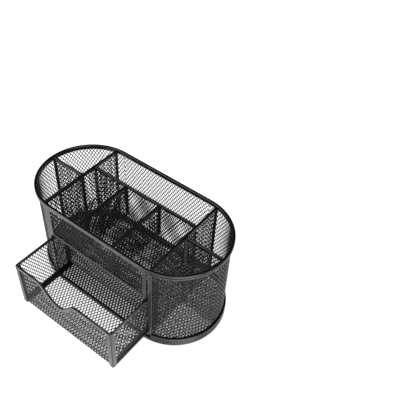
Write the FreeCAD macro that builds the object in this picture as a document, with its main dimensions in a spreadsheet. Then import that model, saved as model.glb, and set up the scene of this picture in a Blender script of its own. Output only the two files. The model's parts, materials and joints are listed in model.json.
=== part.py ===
import FreeCAD, Part
import enum
import math
import os
import re
import Sketcher

# Mesh desk organizer with a pull-out drawer.
# X runs along its length, the drawer opens towards -Y and Z is up.
# The origin lies in the middle of the plan, on the surface that the organizer stands on.

DOC = FreeCAD.newDocument("desk_organizer")
SHEET = DOC.addObject("Spreadsheet::Sheet", "dims")
NODES = []

SIZES = {
    # plan of the body: a stadium, measured along the middle of its rim
    "half_length": 110.0,
    "end_radius": 53.15,
    "body_height": 110.6,
    "sheet_gauge": 0.8,
    "seat_gap": 0.2,
    # rolled channel round the top, the foot of the walls and the foot of the floor
    "channel_width": 3.2,
    "channel_height": 4.7,
    "channel_chamfer": 0.9,
    "groove_depth": 0.5,
    "groove_height": 1.4,
    # share of the mesh that its strands take up, each way
    "strand_share": 0.2,
    # dividers and the wires along their tops
    "divider_past_bend": 9.55,
    "long_divider_offset": 17.2,
    "tray_divider_share": 0.324,
    "wire_diameter": 3.0,
    "wire_drop": 0.2,
    # flat strips that bind the cut edges of the mesh
    "strip_width": 4.0,
    "strip_gauge": 0.9,
    "strip_chamfer": 0.25,
    "post_width": 4.6,
    "post_gauge": 2.0,
    # panel over the drawer and the raised tray behind it
    "panel_gap": 1.2,
    "hem_height": 3.0,
    "tray_back_gap": 1.6,
    # drawer
    "drawer_side_gap": 1.1,
    "drawer_head_gap": 3.7,
    "drawer_depth": 66.5,
    "drawer_height": 57.0,
    "drawer_open": 48.0,
    "drawer_lift": 0.3,
    "drawer_bend": 2.0,
    "trim_height": 2.6,
    "trim_gauge": 0.9,
    "corner_width": 4.5,
    # finger dip in the drawer's front
    "dip_offset": -6.5,
    "dip_depth": 18.5,
    "dip_slope": 50.0,
    "dip_shoulder": 10.0,
    "dip_bowl": 14.0,
    # how far a cut runs past the solid
    "overrun": 5.0,
}

# Lengths that several pieces share, written in the sizes above.
TERMS = {
    "arc_middle": "half_length - end_radius",
    "channel_inner": "end_radius - channel_width / 2",
    "channel_outer": "end_radius + channel_width / 2",
    "channel_flat": "channel_outer - channel_chamfer",
    "divider_offset": "arc_middle + divider_past_bend",
    "tray_divider_offset": "divider_offset * tray_divider_share",
    "opening_top": "drawer_base + drawer_height + drawer_head_gap",
    "wall_outer": "channel_inner + sheet_gauge",
    "wall_middle": "channel_inner + sheet_gauge / 2",
    "floor_top": "channel_height + sheet_gauge",
    "hem_top": "floor_top + channel_height",
    "rim_base": "body_height - channel_height",
    "post_inner": "divider_offset - post_width / 2",
    "post_outer": "divider_offset + post_width / 2",
    "post_back": "sqrt(channel_inner ^ 2 - (post_outer - arc_middle) ^ 2)",
    "divider_face": "divider_offset - sheet_gauge / 2",
    "divider_far_face": "divider_offset + sheet_gauge / 2",
    "long_face": "long_divider_offset - sheet_gauge / 2",
    "wire_middle": "body_height - wire_drop - wire_diameter / 2",
    "sheet_top": "body_height - wire_drop - wire_diameter - seat_gap",
    "divider_back": "sqrt(channel_inner ^ 2 - (divider_offset + strip_width / 2 - arc_middle) ^ 2) - seat_gap",
    "wire_back": "sqrt(channel_inner ^ 2 - (divider_offset + wire_diameter / 2 - arc_middle) ^ 2) - seat_gap",
    "strip_apex": "arc_middle + sqrt(channel_inner ^ 2 - strip_width ^ 2 / 4) - seat_gap",
    "wire_apex": "arc_middle + sqrt(channel_inner ^ 2 - wire_diameter ^ 2 / 4) - seat_gap",
    "wire_side": "wire_diameter / 2 + seat_gap",
    "tray_top": "opening_top + sheet_gauge",
    "panel_half": "post_inner - panel_gap",
    "drawer_base": "floor_top + drawer_lift",
    "drawer_top": "drawer_base + drawer_height",
    "drawer_half": "post_inner - drawer_side_gap",
    "drawer_front": "-(end_radius + drawer_open)",
    "shell_front": "drawer_front + trim_gauge",
    "shell_back": "drawer_front + drawer_depth",
    "side_outer": "drawer_half - trim_gauge",
    "side_inner": "drawer_half - trim_gauge - sheet_gauge",
    "shell_depth": "drawer_depth - trim_gauge",
}

# The flat sheets' mesh is modelled as rows of diamonds: how many each row has, from the lowest or front row on.
MESH_ROWS = {
    "back_wall": "7 6 7 6 7",
    "front_panel": "9 8 9",
    "divider": "4 3 4",
    "long_divider": "6 5 6 5 6",
    "end_divider": "2 1 2",
    "tray_divider": "5 4 5",
    "tray_floor": "6 5 6",
    "base_floor": "7 8 9 8 7",
    "drawer_floor": "5 4 5",
    "drawer_front": "7",
    "drawer_side": "4 3 4",
}

PLANES = {
    "x": ("YZ_Plane", "y", "z"),
    "y": ("XZ_Plane", "x", "z"),
    "z": ("XY_Plane", "x", "y"),
}
SIDES = {"left": "-", "right": ""}
# how closely an edge has to follow an axis to count as parallel to it
PARALLEL_SHARE = 0.999
# a sketch counts the points of its lines and arcs upwards, and its own axes downwards
START, END, CENTRE = enum.IntEnum("SketchPoint", "START END CENTRE")
X_AXIS, Y_AXIS = -START, -END
ORIGIN_POINT = (X_AXIS, START)


def spell(text):
    """Write out the shared lengths, and put the sheet's name before each size."""
    def spelled(match):
        word = match.group(0)
        if word in TERMS:
            return "(" + spell(TERMS[word]) + ")"
        return "dims." + word if word in SIZES else word

    return re.sub(r"[a-z_]+", spelled, text)


def size(text):
    """The value of an expression in named sizes."""
    return float(SHEET.evalExpression(spell(text)))


def bind(target, prop, text):
    target.setExpression(prop, spell(text))


def place(target, **lines):
    for axis, text in lines.items():
        bind(target, "Placement.Base." + axis, text)


def keep(piece, label):
    """Name an object as a finished piece."""
    piece.Label = label
    NODES.append(piece)
    return piece


def new_body(label):
    return keep(DOC.addObject("PartDesign::Body", label), label)


def new_sketch(body, role, name):
    sketch = body.newObject("Sketcher::SketchObject", name)
    plane = next(item for item in body.Origin.OriginFeatures if item.Role == role)
    sketch.AttachmentSupport = (plane, [""])
    sketch.MapMode = "FlatFace"
    return sketch


def rule(sketch, kind, *where):
    return sketch.addConstraint(Sketcher.Constraint(kind, *where))


def measure(sketch, kind, *where, text):
    """A constraint with a value, bound to named sizes."""
    index = rule(sketch, kind, *where, size(text))
    sketch.setExpression(f"Constraints[{index}]", spell(text))


def slope(sketch, line, text):
    index = rule(sketch, "Angle", line, math.radians(size(text)))
    sketch.setExpression(f"Constraints[{index}]", "(" + spell(text) + ") * 1 deg")


def point(x, y):
    return FreeCAD.Vector(x, y, 0)


def add_line(sketch, start, end):
    return sketch.addGeometry(Part.LineSegment(point(*start), point(*end)), False)


def add_arc(sketch, centre, radius, first_degrees, last_degrees):
    circle = Part.Circle(point(*centre), FreeCAD.Vector(0, 0, 1), radius)
    turn = Part.ArcOfCircle(circle, math.radians(first_degrees), math.radians(last_degrees))
    return sketch.addGeometry(turn, False)


def rectangle(sketch, across, up, left="", low=""):
    """A rectangle with its low left corner at the sketch's origin or at a stated place."""
    x0 = size(left) if left else 0
    y0 = size(low) if low else 0
    x1, y1 = x0 + size(across), y0 + size(up)
    base = add_line(sketch, (x0, y0), (x1, y0))
    right = add_line(sketch, (x1, y0), (x1, y1))
    top = add_line(sketch, (x1, y1), (x0, y1))
    side = add_line(sketch, (x0, y1), (x0, y0))
    for here, following in ((base, right), (right, top), (top, side), (side, base)):
        rule(sketch, "Coincident", here, END, following, START)
    for line in (base, top):
        rule(sketch, "Horizontal", line)
    for line in (right, side):
        rule(sketch, "Vertical", line)
    measure(sketch, "DistanceX", base, START, base, END, text=across)
    measure(sketch, "DistanceY", right, START, right, END, text=up)
    if left:
        measure(sketch, "DistanceX", *ORIGIN_POINT, base, START, text=left)
    else:
        rule(sketch, "PointOnObject", base, START, Y_AXIS)
    if low:
        measure(sketch, "DistanceY", *ORIGIN_POINT, base, START, text=low)
    else:
        rule(sketch, "PointOnObject", base, START, X_AXIS)


def pad(body, sketch, length, symmetric=False):
    feature = body.newObject("PartDesign::Pad", "pad")
    feature.Profile = sketch
    feature.SideType = "Symmetric" if symmetric else "One side"
    bind(feature, "Length", length)
    DOC.recompute()
    return feature


def pocket(body, sketch, length):
    """Cut an outline out of the body, to both sides of the sketch's plane."""
    before = body.Tip.Shape.Volume
    feature = body.newObject("PartDesign::Pocket", "pocket")
    feature.Profile = sketch
    feature.SideType = "Symmetric"
    bind(feature, "Length", length)
    DOC.recompute()
    if not feature.Shape.Volume < before:
        raise RuntimeError(body.Label + ": a pocket cuts nothing")
    return feature


def diamond(sketch, across, up, width, height):
    """A diamond about a stated place, with its corners level with it and straight above and below it."""
    x, y = size(across), size(up)
    half_width, half_height = size(width) / 2, size(height) / 2
    corners = [(x - half_width, y), (x, y - half_height), (x + half_width, y), (x, y + half_height)]
    lines = [add_line(sketch, here, there) for here, there in zip(corners, corners[1:] + corners[:1])]
    left, low, right, high = lines
    for here, following in zip(lines, lines[1:] + lines[:1]):
        rule(sketch, "Coincident", here, END, following, START)
    for here, following in zip(lines, lines[1:]):
        rule(sketch, "Equal", here, following)
    rule(sketch, "Horizontal", left, START, right, START)
    measure(sketch, "DistanceX", left, START, right, START, text=width)
    measure(sketch, "DistanceY", low, START, high, START, text=height)
    measure(sketch, "DistanceX", *ORIGIN_POINT, left, START, text=f"{across} - ({width}) / 2")
    measure(sketch, "DistanceY", *ORIGIN_POINT, left, START, text=up)


def repeat(body, cut, reach, count):
    """Copy a cut along its sketch's level axis. The last copy is a reach away from the first."""
    if count == 1:
        return
    pattern = body.newObject("PartDesign::LinearPattern", "row")
    pattern.Originals = [cut]
    pattern.Direction = (cut.Profile[0], ["H_Axis"])
    bind(pattern, "Length", reach)
    pattern.Occurrences = count
    body.Tip = pattern
    DOC.recompute()
    if not pattern.Shape.Volume < cut.Shape.Volume:
        raise RuntimeError(body.Label + ": a row of openings cuts nothing")


def flat_mesh(body, facing, sheet, across, up, depth="overrun"):
    """Cut a flat sheet's rows of diamonds between a low and a high line each way.

    Every second row is staggered, and the rows of most diamonds reach from one line to the other.
    """
    counts = [int(count) for count in MESH_ROWS[sheet].split()]
    pitch = f"({span(across)}) / {max(counts)}"
    rise = f"({span(up)}) / {len(counts) + 1}"
    middle = f"(({across[0]}) + ({across[1]})) / 2"
    for row, count in enumerate(counts, start=1):
        sketch = new_sketch(body, PLANES[facing][0], "diamond")
        reach = f"{pitch} * {count - 1}"
        where = (f"{middle} - {reach} / 2", f"({up[0]}) + {rise} * {row}")
        diamond(sketch, *where, f"{pitch} * (1 - strand_share)", f"2 * {rise} * (1 - strand_share)")
        repeat(body, pocket(body, sketch, depth), reach, count)


def parallel(axis):
    """A test for straight edges that run along an axis."""
    return lambda direction, middle: abs(getattr(direction, axis)) > PARALLEL_SHARE


def straight_edges(solid, wanted):
    """The names of a solid's straight edges whose direction and middle pass a test."""
    names = []
    for index, edge in enumerate(solid.Shape.Edges, start=1):
        if edge.Curve.TypeId == "Part::GeomLine":
            if wanted(edge.tangentAt(edge.FirstParameter), edge.CenterOfMass):
                names.append(f"Edge{index}")
    return names


def round_edges(body, wanted, radius):
    solid = body.Tip
    fillet = body.newObject("PartDesign::Fillet", "fillet")
    fillet.Base = (solid, straight_edges(solid, wanted))
    bind(fillet, "Radius", radius)
    DOC.recompute()


def chamfer_edges(body, wanted, width):
    solid = body.Tip
    chamfer = body.newObject("PartDesign::Chamfer", "chamfer")
    chamfer.Base = (solid, straight_edges(solid, wanted))
    bind(chamfer, "Size", width)
    DOC.recompute()


def span(line_pair):
    low, high = line_pair
    return f"({high}) - ({low})"


def panel(label, facing, sheet, edge="0", low_edge="0", **lines):
    """A flat sheet of mesh: a low and a high line on two axes, and its middle on the third.

    The edges are how much of its sides, and of its foot, lies behind strips and stays whole.
    """
    body = new_body(label)
    role, across, up = PLANES[facing]
    width, height = span(lines[across]), span(lines[up])
    sketch = new_sketch(body, role, "outline")
    rectangle(sketch, width, height)
    pad(body, sketch, "sheet_gauge", symmetric=True)
    flat_mesh(body, facing, sheet, (edge, f"{width} - ({edge})"), (low_edge, height))
    place(body, **{across: lines[across][0], up: lines[up][0], facing: lines[facing]})
    return body


def strip(label, along, **lines):
    """A flat bar between a low and a high line on each axis, with its long edges broken."""
    body = new_body(label)
    role, across, up = PLANES[along]
    sketch = new_sketch(body, role, "section")
    rectangle(sketch, span(lines[across]), span(lines[up]))
    pad(body, sketch, span(lines[along]), symmetric=True)
    chamfer_edges(body, parallel(along), "strip_chamfer")
    low, high = lines[along]
    place(body, **{across: lines[across][0], up: lines[up][0], along: f"(({low}) + ({high})) / 2"})
    return body


def wire(label, along, start, end, **lines):
    """A round bar along the top of a divider."""
    bar = keep(DOC.addObject("Part::Cylinder", label), label)
    bind(bar, "Radius", "wire_diameter / 2")
    bind(bar, "Height", span((start, end)))
    hinge, degrees = {"x": ((0, 1, 0), 90), "y": ((1, 0, 0), -90)}[along]
    bar.Placement = FreeCAD.Placement(FreeCAD.Vector(), FreeCAD.Rotation(FreeCAD.Vector(*hinge), degrees))
    place(bar, **{along: start, "z": "wire_middle"}, **lines)
    return bar


def stadium(sketch, radius, seam):
    """A closed stadium about the sketch's origin. With a seam it starts at the middle of the front."""
    r, middle = size(radius), size("arc_middle")
    right = add_arc(sketch, (middle, 0), r, -90, 90)
    back = add_line(sketch, (middle, r), (-middle, r))
    left = add_arc(sketch, (-middle, 0), r, 90, 270)
    rule(sketch, "Tangent", right, END, back, START)
    rule(sketch, "Tangent", back, END, left, START)
    measure(sketch, "Radius", right, text=radius)
    rule(sketch, "Equal", right, left)
    for arc, sign in ((right, ""), (left, "-")):
        rule(sketch, "PointOnObject", arc, CENTRE, X_AXIS)
        measure(sketch, "DistanceX", *ORIGIN_POINT, arc, CENTRE, text=f"{sign}(arc_middle)")
    if not seam:
        front = add_line(sketch, (-middle, -r), (middle, -r))
        rule(sketch, "Tangent", left, END, front, START)
        rule(sketch, "Tangent", front, END, right, START)
        return
    front_left = add_line(sketch, (-middle, -r), (0, -r))
    front_right = add_line(sketch, (0, -r), (middle, -r))
    rule(sketch, "Tangent", left, END, front_left, START)
    rule(sketch, "Tangent", front_right, END, right, START)
    rule(sketch, "Coincident", front_left, END, front_right, START)
    rule(sketch, "PointOnObject", front_right, START, Y_AXIS)
    rule(sketch, "Horizontal", front_right)


def channel_section(sketch):
    """The rolled channel: a flat inner face, and two beads with a groove between them outside.

    Each corner is a distance from the front's plane through the middle of the plan, and a height.
    """
    corners = (
        ("channel_inner", "0"),
        ("channel_flat", "0"),
        ("channel_outer", "channel_chamfer"),
        ("channel_outer", "(channel_height - groove_height) / 2"),
        ("channel_outer - groove_depth", "channel_height / 2"),
        ("channel_outer", "(channel_height + groove_height) / 2"),
        ("channel_outer", "channel_height - channel_chamfer"),
        ("channel_flat", "channel_height"),
        ("channel_inner", "channel_height"),
    )
    places = [(-size(out), size(up)) for out, up in corners]
    lines = [add_line(sketch, here, there) for here, there in zip(places, places[1:] + places[:1])]
    for here, following in zip(lines, lines[1:] + lines[:1]):
        rule(sketch, "Coincident", here, END, following, START)
    for line, (out, up) in zip(lines, corners):
        measure(sketch, "DistanceX", *ORIGIN_POINT, line, START, text=f"-({out})")
        if up == "0":
            rule(sketch, "PointOnObject", line, START, X_AXIS)
        else:
            measure(sketch, "DistanceY", *ORIGIN_POINT, line, START, text=up)


def channel_ring(label, base):
    """One channel all round the stadium, standing at a height."""
    body = new_body(label)
    path = new_sketch(body, "XY_Plane", "path")
    stadium(path, "end_radius", seam=True)
    section = new_sketch(body, "YZ_Plane", "section")
    channel_section(section)
    DOC.recompute()
    sweep = body.newObject("PartDesign::AdditivePipe", "sweep")
    sweep.Profile = section
    sweep.Spine = path
    DOC.recompute()
    place(body, z=base)
    return body


def end_wall(label, sign):
    """A sheet bent round one end, from the side of its post to where the straight back begins.

    It stays whole: openings in a bent sheet would leave its collision pieces across the hollow inside it.
    """
    body = new_body(label)
    sketch = new_sketch(body, "XY_Plane", "plan")
    front_edge = f"{sign}(post_outer - arc_middle)"
    edge = size(front_edge)
    arcs, ends = [], []
    for radius in ("channel_inner", "wall_outer"):
        r = size(radius)
        turn = math.degrees(math.asin(abs(edge) / r))
        first, last = (turn - 90, 90) if edge > 0 else (90, 270 - turn)
        arc = add_arc(sketch, (0, 0), r, first, last)
        rule(sketch, "Coincident", arc, CENTRE, *ORIGIN_POINT)
        measure(sketch, "Radius", arc, text=radius)
        arcs.append(arc)
        ends.append((edge, -math.sqrt(r * r - edge * edge)))
    front_point, back_point = (START, END) if edge > 0 else (END, START)
    front = add_line(sketch, ends[0], ends[1])
    back = add_line(sketch, (0, size("channel_inner")), (0, size("wall_outer")))
    for line, where in ((front, front_point), (back, back_point)):
        rule(sketch, "Coincident", line, START, arcs[0], where)
        rule(sketch, "Coincident", line, END, arcs[1], where)
    rule(sketch, "Vertical", front)
    measure(sketch, "DistanceX", *ORIGIN_POINT, front, START, text=front_edge)
    rule(sketch, "PointOnObject", back, START, Y_AXIS)
    rule(sketch, "PointOnObject", back, END, Y_AXIS)
    pad(body, sketch, "rim_base - hem_top")
    place(body, x=f"{sign}(arc_middle)", z="hem_top")
    return body


def ogee(sketch, top, shoulder, bowl, end, closing_line):
    """The drawer's top line with its finger dip, closed by a straight line above or below it.

    The dip is a round bowl between two straight slopes, and each slope meets the flat top in a round shoulder.
    """
    level, limit, closing = size(top), size(end), size(closing_line)
    r, bowl_r, tilt = size(shoulder), size(bowl), size("dip_slope")
    middle, sine, cosine = size("dip_offset"), math.sin(math.radians(tilt)), math.cos(math.radians(tilt))
    bowl_z = level - size("dip_depth") + bowl_r
    bowl_x, foot_z = bowl_r * sine, bowl_z - bowl_r * cosine
    slope_top = level - r * (1 - cosine)
    slope_x = bowl_x + (slope_top - foot_z) * cosine / sine
    shoulder_x = slope_x + r * sine
    flat_left = add_line(sketch, (-limit, level), (middle - shoulder_x, level))
    turn_left = add_arc(sketch, (middle - shoulder_x, level - r), r, 90 - tilt, 90)
    slope_left = add_line(sketch, (middle - slope_x, slope_top), (middle - bowl_x, foot_z))
    bottom = add_arc(sketch, (middle, bowl_z), bowl_r, 270 - tilt, 270 + tilt)
    slope_right = add_line(sketch, (middle + bowl_x, foot_z), (middle + slope_x, slope_top))
    turn_right = add_arc(sketch, (middle + shoulder_x, level - r), r, 90, 90 + tilt)
    flat_right = add_line(sketch, (middle + shoulder_x, level), (limit, level))
    side_right = add_line(sketch, (limit, level), (limit, closing))
    across = add_line(sketch, (limit, closing), (-limit, closing))
    side_left = add_line(sketch, (-limit, closing), (-limit, level))
    rule(sketch, "Tangent", flat_left, END, turn_left, END)
    rule(sketch, "Tangent", turn_left, START, slope_left, START)
    rule(sketch, "Tangent", slope_left, END, bottom, START)
    rule(sketch, "Tangent", bottom, END, slope_right, START)
    rule(sketch, "Tangent", slope_right, END, turn_right, END)
    rule(sketch, "Tangent", turn_right, START, flat_right, START)
    corners = ((flat_right, side_right), (side_right, across), (across, side_left), (side_left, flat_left))
    for here, following in corners:
        rule(sketch, "Coincident", here, END, following, START)
    for line in (flat_left, flat_right, across):
        rule(sketch, "Horizontal", line)
    for line in (side_left, side_right):
        rule(sketch, "Vertical", line)
    measure(sketch, "Radius", turn_left, text=shoulder)
    rule(sketch, "Equal", turn_left, turn_right)
    measure(sketch, "Radius", bottom, text=bowl)
    slope(sketch, slope_left, "-dip_slope")
    slope(sketch, slope_right, "dip_slope")
    measure(sketch, "DistanceX", *ORIGIN_POINT, bottom, CENTRE, text="dip_offset")
    measure(sketch, "DistanceY", *ORIGIN_POINT, bottom, CENTRE, text=f"{top} - dip_depth + {bowl}")
    measure(sketch, "DistanceY", *ORIGIN_POINT, flat_left, START, text=top)
    measure(sketch, "DistanceY", *ORIGIN_POINT, flat_right, END, text=top)
    measure(sketch, "DistanceX", *ORIGIN_POINT, flat_left, START, text=f"-({end})")
    measure(sketch, "DistanceX", *ORIGIN_POINT, flat_right, END, text=end)
    measure(sketch, "DistanceY", *ORIGIN_POINT, across, START, text=closing_line)


def build_base_and_rim():
    channel_ring("base_ring", "0")
    floor = new_body("base_floor")
    plan = new_sketch(floor, "XY_Plane", "plan")
    stadium(plan, "channel_flat", seam=False)
    pad(floor, plan, "sheet_gauge")
    reach = "arc_middle + channel_inner"
    flat_mesh(floor, "z", "base_floor", (f"-({reach})", reach), ("-(channel_inner)", "channel_inner"))
    place(floor, z="channel_height")
    hem = channel_ring("wall_hem", "floor_top")
    mouth = new_sketch(hem, "XY_Plane", "mouth")
    rectangle(mouth, "2 * post_outer", "end_radius + overrun", left="-(post_outer)", low="-(end_radius + overrun)")
    pocket(hem, mouth, "2 * channel_height + overrun")
    channel_ring("top_rim", "rim_base")


def build_outer_walls():
    for side, sign in SIDES.items():
        end_wall(side + "_end_wall", sign)
    height = ("hem_top", "rim_base")
    panel("back_wall", "y", "back_wall", x=("-(arc_middle)", "arc_middle"), y="wall_middle", z=height)
    for side, sign in SIDES.items():
        lines = ("post_inner", "post_outer") if side == "right" else ("-(post_outer)", "-(post_inner)")
        strip(side + "_post", "z", x=lines, y=("-(post_back + post_gauge)", "-(post_back)"), z=("floor_top", "rim_base"))


def build_front_panel():
    height = ("opening_top", "rim_base")
    inner_edge = "panel_half - strip_width"
    face = ("-(wall_outer + strip_gauge)", "-(wall_outer)")
    edges = ("strip_width", "hem_height")
    panel("front_panel", "y", "front_panel", *edges, x=("-(panel_half)", "panel_half"), y="-(wall_middle)", z=height)
    strip("front_panel_left_strip", "z", x=("-(panel_half)", f"-({inner_edge})"), y=face, z=height)
    strip("front_panel_right_strip", "z", x=(inner_edge, "panel_half"), y=face, z=height)
    hem = ("opening_top", "opening_top + hem_height")
    strip("front_panel_hem", "x", x=(f"-({inner_edge})", inner_edge), y=face, z=hem)


def build_full_dividers():
    """The two dividers that run from the posts to the back, and the long one between them."""
    height = ("floor_top", "sheet_top")
    seat = ("divider_back - strip_gauge", "divider_back")
    for side, sign in SIDES.items():
        name = side + "_divider"
        middle = f"{sign}divider_offset"
        panel(name, "x", "divider", x=middle, y=("-(post_back)", seat[0]), z=height)
        wide = (f"{middle} - strip_width / 2", f"{middle} + strip_width / 2")
        strip(name + "_back_strip", "z", x=wide, y=seat, z=height)
        wire(name + "_wire", "y", "-(wire_back)", "wire_back", x=middle)
    reach = "divider_face - strip_gauge"
    panel("long_divider", "y", "long_divider", x=(f"-({reach})", reach), y="long_divider_offset", z=height)
    wide = ("long_divider_offset - strip_width / 2", "long_divider_offset + strip_width / 2")
    strip("long_divider_left_strip", "z", x=("-(divider_face)", f"-({reach})"), y=wide, z=height)
    strip("long_divider_right_strip", "z", x=(reach, "divider_face"), y=wide, z=height)
    wire_end = "divider_offset - wire_side"
    wire("long_divider_wire", "x", f"-({wire_end})", wire_end, y="long_divider_offset")


def build_end_dividers():
    """A divider across each round end, from the full divider to the end wall's farthest point."""
    height = ("floor_top", "sheet_top")
    wide = ("-strip_width / 2", "strip_width / 2")
    inner = ("divider_far_face", "divider_far_face + strip_gauge")
    outer = ("strip_apex - strip_gauge", "strip_apex")
    bar = ("divider_offset + wire_side", "wire_apex")

    def mirrored(pair):
        return tuple(f"-({line})" for line in reversed(pair))

    for side in SIDES:
        turn = mirrored if side == "left" else tuple
        name = side + "_end_divider"
        panel(name, "y", "end_divider", x=turn((inner[1], outer[0])), y="0", z=height)
        strip(name + "_inner_strip", "z", x=turn(inner), y=wide, z=height)
        strip(name + "_outer_strip", "z", x=turn(outer), y=wide, z=height)
        wire(name + "_wire", "x", *turn(bar), y="0")


def build_tray():
    """The raised floor over the drawer, and the two short dividers that stand on it."""
    tray = new_body("tray_floor")
    plan = new_sketch(tray, "XY_Plane", "plan")
    front, back = "-(channel_inner)", "long_face - tray_back_gap"
    rectangle(plan, "2 * divider_face", span((front, back)), left="-(divider_face)", low=front)
    pad(tray, plan, "sheet_gauge")
    notches = new_sketch(tray, "XY_Plane", "post_notches")
    reach = "divider_face - post_inner + seat_gap + overrun"
    depth = "channel_inner - post_back + seat_gap + overrun"
    for left in ("-(divider_face + overrun)", "post_inner - seat_gap"):
        rectangle(notches, reach, depth, left=left, low="-(channel_inner + overrun)")
    pocket(tray, notches, "2 * sheet_gauge + overrun")
    flat_mesh(tray, "z", "tray_floor", ("-(divider_face)", "divider_face"), (front, back))
    place(tray, z="opening_top")
    height = ("tray_top", "sheet_top")
    seat = ("long_face - strip_gauge", "long_face")
    for side, sign in SIDES.items():
        name = side + "_tray_divider"
        middle = f"{sign}tray_divider_offset"
        panel(name, "x", "tray_divider", x=middle, y=("-(channel_inner)", seat[0]), z=height)
        wide = (f"{middle} - strip_width / 2", f"{middle} + strip_width / 2")
        strip(name + "_back_strip", "z", x=wide, y=seat, z=height)
        bar = ("-(channel_inner - seat_gap)", "long_divider_offset - wire_side")
        wire(name + "_wire", "y", *bar, x=middle)


def build_drawer_shell():
    """Front, floor and back of the drawer: one sheet with two bends, and the dip cut out of its front."""
    shell = new_body("drawer_shell")
    width, depth = "2 * side_inner", "shell_depth"
    outline = new_sketch(shell, "YZ_Plane", "outline")
    rectangle(outline, depth, "drawer_height")
    pad(shell, outline, width, symmetric=True)
    along_x = parallel("x")
    low = size("drawer_height") / 2
    round_edges(shell, lambda direction, middle: along_x(direction, middle) and middle.z < low, "drawer_bend")
    hollow = new_sketch(shell, "YZ_Plane", "hollow")
    rectangle(hollow, f"{depth} - 2 * sheet_gauge", "drawer_height + overrun", left="sheet_gauge", low="sheet_gauge")
    pocket(shell, hollow, f"{width} + overrun")
    gauge = size("sheet_gauge")

    def inside_corner(direction, middle):
        inside = gauge / 2 < middle.y < size(depth) - gauge / 2
        return along_x(direction, middle) and inside and abs(middle.z - gauge) < gauge / 2

    round_edges(shell, inside_corner, "drawer_bend - sheet_gauge")
    dip = new_sketch(shell, "XZ_Plane", "dip")
    ogee(dip, "drawer_height", "dip_shoulder", "dip_bowl", "drawer_half", "drawer_height + overrun")
    pocket(shell, dip, "2 * overrun")
    across = ("-(side_inner)", "side_inner")
    flat_mesh(shell, "z", "drawer_floor", across, ("drawer_bend", f"{depth} - drawer_bend"))
    below_dip = "drawer_height - dip_depth - trim_height"
    flat_mesh(shell, "y", "drawer_front", across, ("drawer_bend", below_dip), depth=f"2 * ({depth} + overrun)")
    place(shell, y="shell_front", z="drawer_base")


def build_drawer_sides():
    rows = ("shell_front", "shell_back")
    height = ("drawer_base", "drawer_top")
    head = ("drawer_top - trim_height", "drawer_top")
    foot = ("drawer_base", "drawer_base + trim_height")
    front = ("shell_front", "shell_front + corner_width")
    back = ("shell_back - corner_width", "shell_back")
    between = (front[1], back[0])
    for side, sign in SIDES.items():
        middle = f"{sign}(side_outer - sheet_gauge / 2)"
        skin = ("side_outer", "drawer_half") if side == "right" else ("-drawer_half", "-(side_outer)")
        name = f"drawer_{side}"
        panel(name + "_side", "x", "drawer_side", "corner_width", "trim_height", x=middle, y=rows, z=height)
        strip(name + "_front_strip", "z", x=skin, y=front, z=height)
        strip(name + "_back_strip", "z", x=skin, y=back, z=height)
        strip(name + "_top_trim", "y", x=skin, y=between, z=head)
        strip(name + "_foot_trim", "y", x=skin, y=between, z=foot)
    strip("drawer_back_trim", "x", x=("-(side_inner)", "side_inner"), y=("shell_back", "shell_back + trim_gauge"), z=head)


def build_drawer_front():
    """Strips up both edges of the front, and a trim that follows its top line through the dip."""
    face = ("drawer_front", "shell_front")
    height = ("drawer_base", "drawer_top")
    inner_edge = "side_outer - corner_width"
    strip("drawer_front_left_strip", "z", x=("-(side_outer)", f"-({inner_edge})"), y=face, z=height)
    strip("drawer_front_right_strip", "z", x=(inner_edge, "side_outer"), y=face, z=height)
    trim = new_body("drawer_front_trim")
    plate = new_sketch(trim, "XZ_Plane", "plate")
    tall = "dip_depth + 2 * trim_height"
    rectangle(plate, f"2 * ({inner_edge})", tall, left=f"-({inner_edge})", low=f"-({tall})")
    pad(trim, plate, "trim_gauge", symmetric=True)
    above = new_sketch(trim, "XZ_Plane", "above")
    ogee(above, "0", "dip_shoulder", "dip_bowl", "drawer_half", "overrun")
    pocket(trim, above, "2 * trim_gauge")
    below = new_sketch(trim, "XZ_Plane", "below")
    lower = ("-trim_height", "(dip_shoulder - trim_height)", "(dip_bowl + trim_height)")
    ogee(below, *lower, "drawer_half", f"-({tall} + overrun)")
    pocket(trim, below, "2 * trim_gauge")
    place(trim, y="(drawer_front + shell_front) / 2", z="drawer_top")


def build():
    build_base_and_rim()
    build_outer_walls()
    build_front_panel()
    build_full_dividers()
    build_end_dividers()
    build_tray()
    build_drawer_shell()
    build_drawer_sides()
    build_drawer_front()
    DOC.recompute()


def check():
    """Stop if any object has failed, or a piece is empty, broken or not one solid."""
    for item in DOC.Objects:
        if "Invalid" in item.State or "Error" in item.State:
            raise RuntimeError(item.Name + " has failed: " + str(item.State))
    for piece in NODES:
        shape = piece.Shape
        if shape.isNull() or not shape.isValid() or len(shape.Solids) != 1:
            raise RuntimeError(piece.Label + " isn't one valid solid")


def export():
    os.makedirs("parts", exist_ok=True)
    for piece in NODES:
        piece.Shape.exportStep(f"parts/{piece.Label}.step")
    print(len(NODES), "pieces")


def fill_sheet():
    for row, (alias, number) in enumerate(SIZES.items(), start=1):
        SHEET.set(f"A{row}", alias.replace("_", " "))
        SHEET.set(f"B{row}", str(number))
        SHEET.setAlias(f"B{row}", alias)
    DOC.recompute()


fill_sheet()
build()
check()
export()
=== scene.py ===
import json
import logging
import math
from contextlib import contextmanager
from dataclasses import dataclass, field
from enum import Enum
from typing import Callable, Iterator, Sequence

import bmesh
import bpy
from mathutils import Matrix, Vector

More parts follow.
